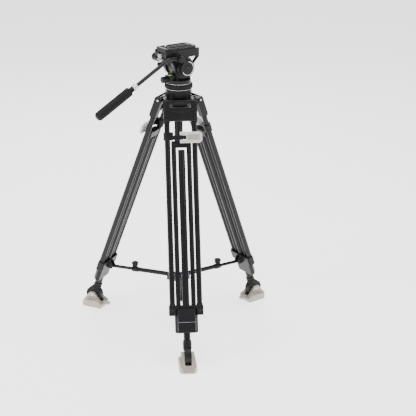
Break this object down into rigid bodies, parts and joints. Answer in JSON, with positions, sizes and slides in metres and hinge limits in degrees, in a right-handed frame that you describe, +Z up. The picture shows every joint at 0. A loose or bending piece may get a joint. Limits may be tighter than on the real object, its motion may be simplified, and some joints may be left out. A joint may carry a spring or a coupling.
{
  "type": "video tripod with fluid head",
  "caption": "Spread twin-tube video tripod, legs collapsed, with mid-level spreader, hinged foot pads, bowl-mounted pan and tilt head, sliding camera plate and pan handle.",
  "frame": {"origin": "middle of the whole object's outline, on the floor that the feet stand on; the tripod's axis is vertical and lies 17.0 mm behind it", "axes": "+Z up, +Y the shooting direction (away from the pan handle), +X the operator's right"},
  "size_m": [0.5718, 0.6108, 0.8423],
  "materials": {
    "cast_black": "satin, fine texture",
    "tube_black": "satin anodised",
    "lever_silver": "bead-blasted",
    "foot_grey": "satin painted, warm grey",
    "plastic_black": "matte",
    "rubber_black": "matte",
    "steel": "turned",
    "bubble_green": "clear"
  },
  "bodies": {
    "centre": {"apex": "cast_black", "hip_bolts": "steel"},
    "front_leg_upper": {"front_leg_yoke": "cast_black", "front_leg_outer_tubes": "tube_black", "front_leg_lock_clamp": "cast_black", "front_leg_lower_bracket": "cast_black"},
    "front_leg_lever": {"front_leg_lock_lever": "lever_silver"},
    "front_leg_middle": {"front_leg_mid_castings": "cast_black", "front_leg_mid_tubes": "tube_black"},
    "front_leg_lower": {"front_leg_lower_tube": "tube_black", "front_leg_ankle": "plastic_black"},
    "front_leg_foot": {"front_leg_foot_pad": "foot_grey"},
    "front_leg_arm_rod": {"front_leg_spreader_rod": "tube_black"},
    "front_leg_arm_tube": {"front_leg_spreader_tube": "plastic_black"},
    "front_leg_arm_knob": {"front_leg_spreader_knob": "rubber_black"},
    "right_leg_upper": {"right_leg_yoke": "cast_black", "right_leg_outer_tubes": "tube_black", "right_leg_lock_clamp": "cast_black", "right_leg_lower_bracket": "cast_black"},
    "right_leg_lever": {"right_leg_lock_lever": "lever_silver"},
    "right_leg_middle": {"right_leg_mid_castings": "cast_black", "right_leg_mid_tubes": "tube_black"},
    "right_leg_lower": {"right_leg_lower_tube": "tube_black", "right_leg_ankle": "plastic_black"},
    "right_leg_foot": {"right_leg_foot_pad": "foot_grey"},
    "right_leg_arm_rod": {"right_leg_spreader_rod": "tube_black"},
    "right_leg_arm_tube": {"right_leg_spreader_tube": "plastic_black"},
    "right_leg_arm_knob": {"right_leg_spreader_knob": "rubber_black"},
    "left_leg_upper": {"left_leg_yoke": "cast_black", "left_leg_outer_tubes": "tube_black", "left_leg_lock_clamp": "cast_black", "left_leg_lower_bracket": "cast_black"},
    "left_leg_lever": {"left_leg_lock_lever": "lever_silver"},
    "left_leg_middle": {"left_leg_mid_castings": "cast_black", "left_leg_mid_tubes": "tube_black"},
    "left_leg_lower": {"left_leg_lower_tube": "tube_black", "left_leg_ankle": "plastic_black"},
    "left_leg_foot": {"left_leg_foot_pad": "foot_grey"},
    "left_leg_arm_rod": {"left_leg_spreader_rod": "tube_black"},
    "left_leg_arm_tube": {"left_leg_spreader_tube": "plastic_black"},
    "left_leg_arm_knob": {"left_leg_spreader_knob": "rubber_black"},
    "hub": {"spreader_hub": "plastic_black"},
    "level_washer": {"clamp_washer": "steel"},
    "levelled_base": {"ball_base": "cast_black"},
    "tie_down": {"tie_down_handle": "plastic_black"},
    "drag": {"drag_ring": "rubber_black"},
    "pan_body": {"tilt_housing": "cast_black", "bubble_level": "bubble_green"},
    "pan_knob": {"pan_lock_knob": "plastic_black"},
    "tilt_frame": {"cradle": "cast_black"},
    "dial": {"counterbalance_dial": "plastic_black"},
    "tilt_lever": {"tilt_lock_lever": "plastic_black"},
    "plate": {"camera_plate": "cast_black"},
    "screw": {"camera_screw": "steel"},
    "plate_knob": {"plate_lock_knob": "plastic_black"},
    "release": {"plate_release": "lever_silver"},
    "handle": {"handle_rod": "tube_black"},
    "handle_knob": {"handle_clamp_knob": "plastic_black"},
    "collar": {"handle_collar": "lever_silver"},
    "grip": {"handle_grip": "rubber_black"}
  },
  "joints": [
    {"name": "front_leg_fold", "type": "hinge", "parent": "centre", "child": "front_leg_upper", "pos_m": [0, 0.02428, 0.68833], "axis": [1, 0, 0], "range_deg": [-12.5, 0]},
    {"name": "front_leg_lock", "type": "hinge", "parent": "front_leg_upper", "child": "front_leg_lever", "pos_m": [0, 0.07173, 0.60225], "axis": [0, 0.3502, -0.9367], "range_deg": [0, 100]},
    {"name": "front_leg_middle_stage", "type": "slide", "parent": "front_leg_upper", "child": "front_leg_middle", "axis": [0, 0.3502, -0.9367], "range_m": [0, 0.412]},
    {"name": "front_leg_lower_stage", "type": "slide", "parent": "front_leg_middle", "child": "front_leg_lower", "axis": [0, 0.3502, -0.9367], "range_m": [0, 0.412]},
    {"name": "front_leg_ankle_tilt", "type": "hinge", "parent": "front_leg_lower", "child": "front_leg_foot", "pos_m": [0, 0.26743, 0.038], "axis": [1, 0, 0], "range_deg": [-15, 15]},
    {"name": "front_leg_arm_pivot", "type": "hinge", "parent": "front_leg_upper", "child": "front_leg_arm_rod", "pos_m": [0, 0.20554, 0.14158], "axis": [1, 0, 0], "range_deg": [-49.64, 0.5]},
    {"name": "front_leg_arm_slide", "type": "slide", "parent": "front_leg_arm_rod", "child": "front_leg_arm_tube", "axis": [0, 0.9991, -0.0432], "range_m": [-0.0005, 0.0305]},
    {"name": "front_leg_arm_knob_turn", "type": "hinge", "parent": "front_leg_arm_tube", "child": "front_leg_arm_knob", "pos_m": [0, 0.12652, 0.16002], "axis": [0, 0.0432, 0.9991], "range_deg": [0, 180]},
    {"name": "right_leg_fold", "type": "hinge", "parent": "centre", "child": "right_leg_upper", "pos_m": [0.03577, -0.03767, 0.68833], "axis": [-0.5, -0.866, 0], "range_deg": [-12.5, 0]},
    {"name": "right_leg_lock", "type": "hinge", "parent": "right_leg_upper", "child": "right_leg_lever", "pos_m": [0.07686, -0.06139, 0.60225], "axis": [0.3033, -0.1751, -0.9367], "range_deg": [0, 100]},
    {"name": "right_leg_middle_stage", "type": "slide", "parent": "right_leg_upper", "child": "right_leg_middle", "axis": [0.3033, -0.1751, -0.9367], "range_m": [0, 0.412]},
    {"name": "right_leg_lower_stage", "type": "slide", "parent": "right_leg_middle", "child": "right_leg_lower", "axis": [0.3033, -0.1751, -0.9367], "range_m": [0, 0.412]},
    {"name": "right_leg_ankle_tilt", "type": "hinge", "parent": "right_leg_lower", "child": "right_leg_foot", "pos_m": [0.24634, -0.15924, 0.038], "axis": [-0.5, -0.866, 0], "range_deg": [-15, 15]},
    {"name": "right_leg_arm_pivot", "type": "hinge", "parent": "right_leg_upper", "child": "right_leg_arm_rod", "pos_m": [0.19274, -0.12829, 0.14158], "axis": [-0.5, -0.866, 0], "range_deg": [-49.64, 0.5]},
    {"name": "right_leg_arm_slide", "type": "slide", "parent": "right_leg_arm_rod", "child": "right_leg_arm_tube", "axis": [0.8652, -0.4995, -0.0432], "range_m": [-0.0005, 0.0305]},
    {"name": "right_leg_arm_knob_turn", "type": "hinge", "parent": "right_leg_arm_tube", "child": "right_leg_arm_knob", "pos_m": [0.12431, -0.08879, 0.16002], "axis": [0.0374, -0.0216, 0.9991], "range_deg": [0, 180]},
    {"name": "left_leg_fold", "type": "hinge", "parent": "centre", "child": "left_leg_upper", "pos_m": [-0.03577, -0.03767, 0.68833], "axis": [-0.5, 0.866, 0], "range_deg": [-12.5, 0]},
    {"name": "left_leg_lock", "type": "hinge", "parent": "left_leg_upper", "child": "left_leg_lever", "pos_m": [-0.07686, -0.06139, 0.60225], "axis": [-0.3033, -0.1751, -0.9367], "range_deg": [0, 100]},
    {"name": "left_leg_middle_stage", "type": "slide", "parent": "left_leg_upper", "child": "left_leg_middle", "axis": [-0.3033, -0.1751, -0.9367], "range_m": [0, 0.412]},
    {"name": "left_leg_lower_stage", "type": "slide", "parent": "left_leg_middle", "child": "left_leg_lower", "axis": [-0.3033, -0.1751, -0.9367], "range_m": [0, 0.412]},
    {"name": "left_leg_ankle_tilt", "type": "hinge", "parent": "left_leg_lower", "child": "left_leg_foot", "pos_m": [-0.24634, -0.15924, 0.038], "axis": [-0.5, 0.866, 0], "range_deg": [-15, 15]},
    {"name": "left_leg_arm_pivot", "type": "hinge", "parent": "left_leg_upper", "child": "left_leg_arm_rod", "pos_m": [-0.19274, -0.12829, 0.14158], "axis": [-0.5, 0.866, 0], "range_deg": [-49.64, 0.5]},
    {"name": "left_leg_arm_slide", "type": "slide", "parent": "left_leg_arm_rod", "child": "left_leg_arm_tube", "axis": [-0.8652, -0.4995, -0.0432], "range_m": [-0.0005, 0.0305]},
    {"name": "left_leg_arm_knob_turn", "type": "hinge", "parent": "left_leg_arm_tube", "child": "left_leg_arm_knob", "pos_m": [-0.12431, -0.08879, 0.16002], "axis": [-0.0374, -0.0216, 0.9991], "range_deg": [0, 180]},
    {"name": "hub_rise", "type": "slide", "parent": "centre", "child": "hub", "axis": [0, 0, 1], "range_m": [-0.0005, 0.11402]},
    {"name": "level_side", "type": "hinge", "parent": "centre", "child": "level_washer", "pos_m": [0, -0.01702, 0.69003], "axis": [1, 0, 0], "range_deg": [-7.5, 7.5]},
    {"name": "level_fore", "type": "hinge", "parent": "level_washer", "child": "levelled_base", "pos_m": [0, -0.01702, 0.69003], "axis": [0, 1, 0], "range_deg": [-7.5, 7.5]},
    {"name": "tie_down_turn", "type": "hinge", "parent": "levelled_base", "child": "tie_down", "pos_m": [0, -0.01702, 0.69003], "axis": [0, 0, 1], "continuous": true},
    {"name": "drag_turn", "type": "hinge", "parent": "levelled_base", "child": "drag", "pos_m": [0, -0.01702, 0.69003], "axis": [0, 0, 1], "range_deg": [0, 270]},
    {"name": "pan", "type": "hinge", "parent": "levelled_base", "child": "pan_body", "pos_m": [0, -0.01702, 0.69003], "axis": [0, 0, 1], "continuous": true},
    {"name": "pan_lock_turn", "type": "hinge", "parent": "pan_body", "child": "pan_knob", "pos_m": [0, -0.05702, 0.74803], "axis": [0, 1, 0], "range_deg": [0, 180]},
    {"name": "tilt", "type": "hinge", "parent": "pan_body", "child": "tilt_frame", "pos_m": [0, -0.01702, 0.78133], "axis": [1, 0, 0], "range_deg": [-70, 40]},
    {"name": "counterbalance_turn", "type": "hinge", "parent": "pan_body", "child": "dial", "pos_m": [0, -0.01702, 0.78133], "axis": [1, 0, 0], "range_deg": [0, 270]},
    {"name": "tilt_lock_turn", "type": "hinge", "parent": "pan_body", "child": "tilt_lever", "pos_m": [0, -0.01702, 0.78133], "axis": [1, 0, 0], "range_deg": [0, 60]},
    {"name": "plate_slide", "type": "slide", "parent": "tilt_frame", "child": "plate", "axis": [0, 1, 0], "range_m": [-0.02, 0.02]},
    {"name": "camera_screw_turn", "type": "hinge", "parent": "plate", "child": "screw", "pos_m": [0, -0.06002, 0.83133], "axis": [0, 0, 1], "continuous": true},
    {"name": "plate_lock_turn", "type": "hinge", "parent": "tilt_frame", "child": "plate_knob", "pos_m": [-0.03, -0.06802, 0.80633], "axis": [1, 0, 0], "range_deg": [0, 120]},
    {"name": "plate_release_press", "type": "slide", "parent": "tilt_frame", "child": "release", "axis": [0, 0, -1], "range_m": [0, 0.003], "stiffness_N_per_m": 800, "springref_m": -0.001},
    {"name": "handle_angle", "type": "hinge", "parent": "tilt_frame", "child": "handle", "pos_m": [0.037, -0.04102, 0.81133], "axis": [-1, 0, 0], "range_deg": [-25, 60]},
    {"name": "handle_clamp_turn", "type": "hinge", "parent": "handle", "child": "handle_knob", "pos_m": [0.047, -0.04102, 0.81133], "axis": [1, 0, 0], "range_deg": [0, 180]},
    {"name": "collar_turn", "type": "hinge", "parent": "handle", "child": "collar", "pos_m": [0.037, -0.18022, 0.75412], "axis": [0, -0.8746, -0.4848], "range_deg": [0, 120]},
    {"name": "grip_extend", "type": "slide", "parent": "handle", "child": "grip", "axis": [0, -0.8746, -0.4848], "range_m": [0, 0.05]}
  ],
  "couplings": [
    {"joint": "front_leg_arm_pivot", "follows": "front_leg_fold", "ratio": 3.931},
    {"joint": "front_leg_arm_slide", "follows": "front_leg_fold", "m_per_rad": -0.13751},
    {"joint": "right_leg_fold", "follows": "front_leg_fold", "ratio": 1},
    {"joint": "right_leg_arm_pivot", "follows": "front_leg_fold", "ratio": 3.931},
    {"joint": "right_leg_arm_slide", "follows": "front_leg_fold", "m_per_rad": -0.13751},
    {"joint": "left_leg_fold", "follows": "front_leg_fold", "ratio": 1},
    {"joint": "left_leg_arm_pivot", "follows": "front_leg_fold", "ratio": 3.931},
    {"joint": "left_leg_arm_slide", "follows": "front_leg_fold", "m_per_rad": -0.13751},
    {"joint": "hub_rise", "follows": "front_leg_fold", "m_per_rad": -0.52034}
  ]
}
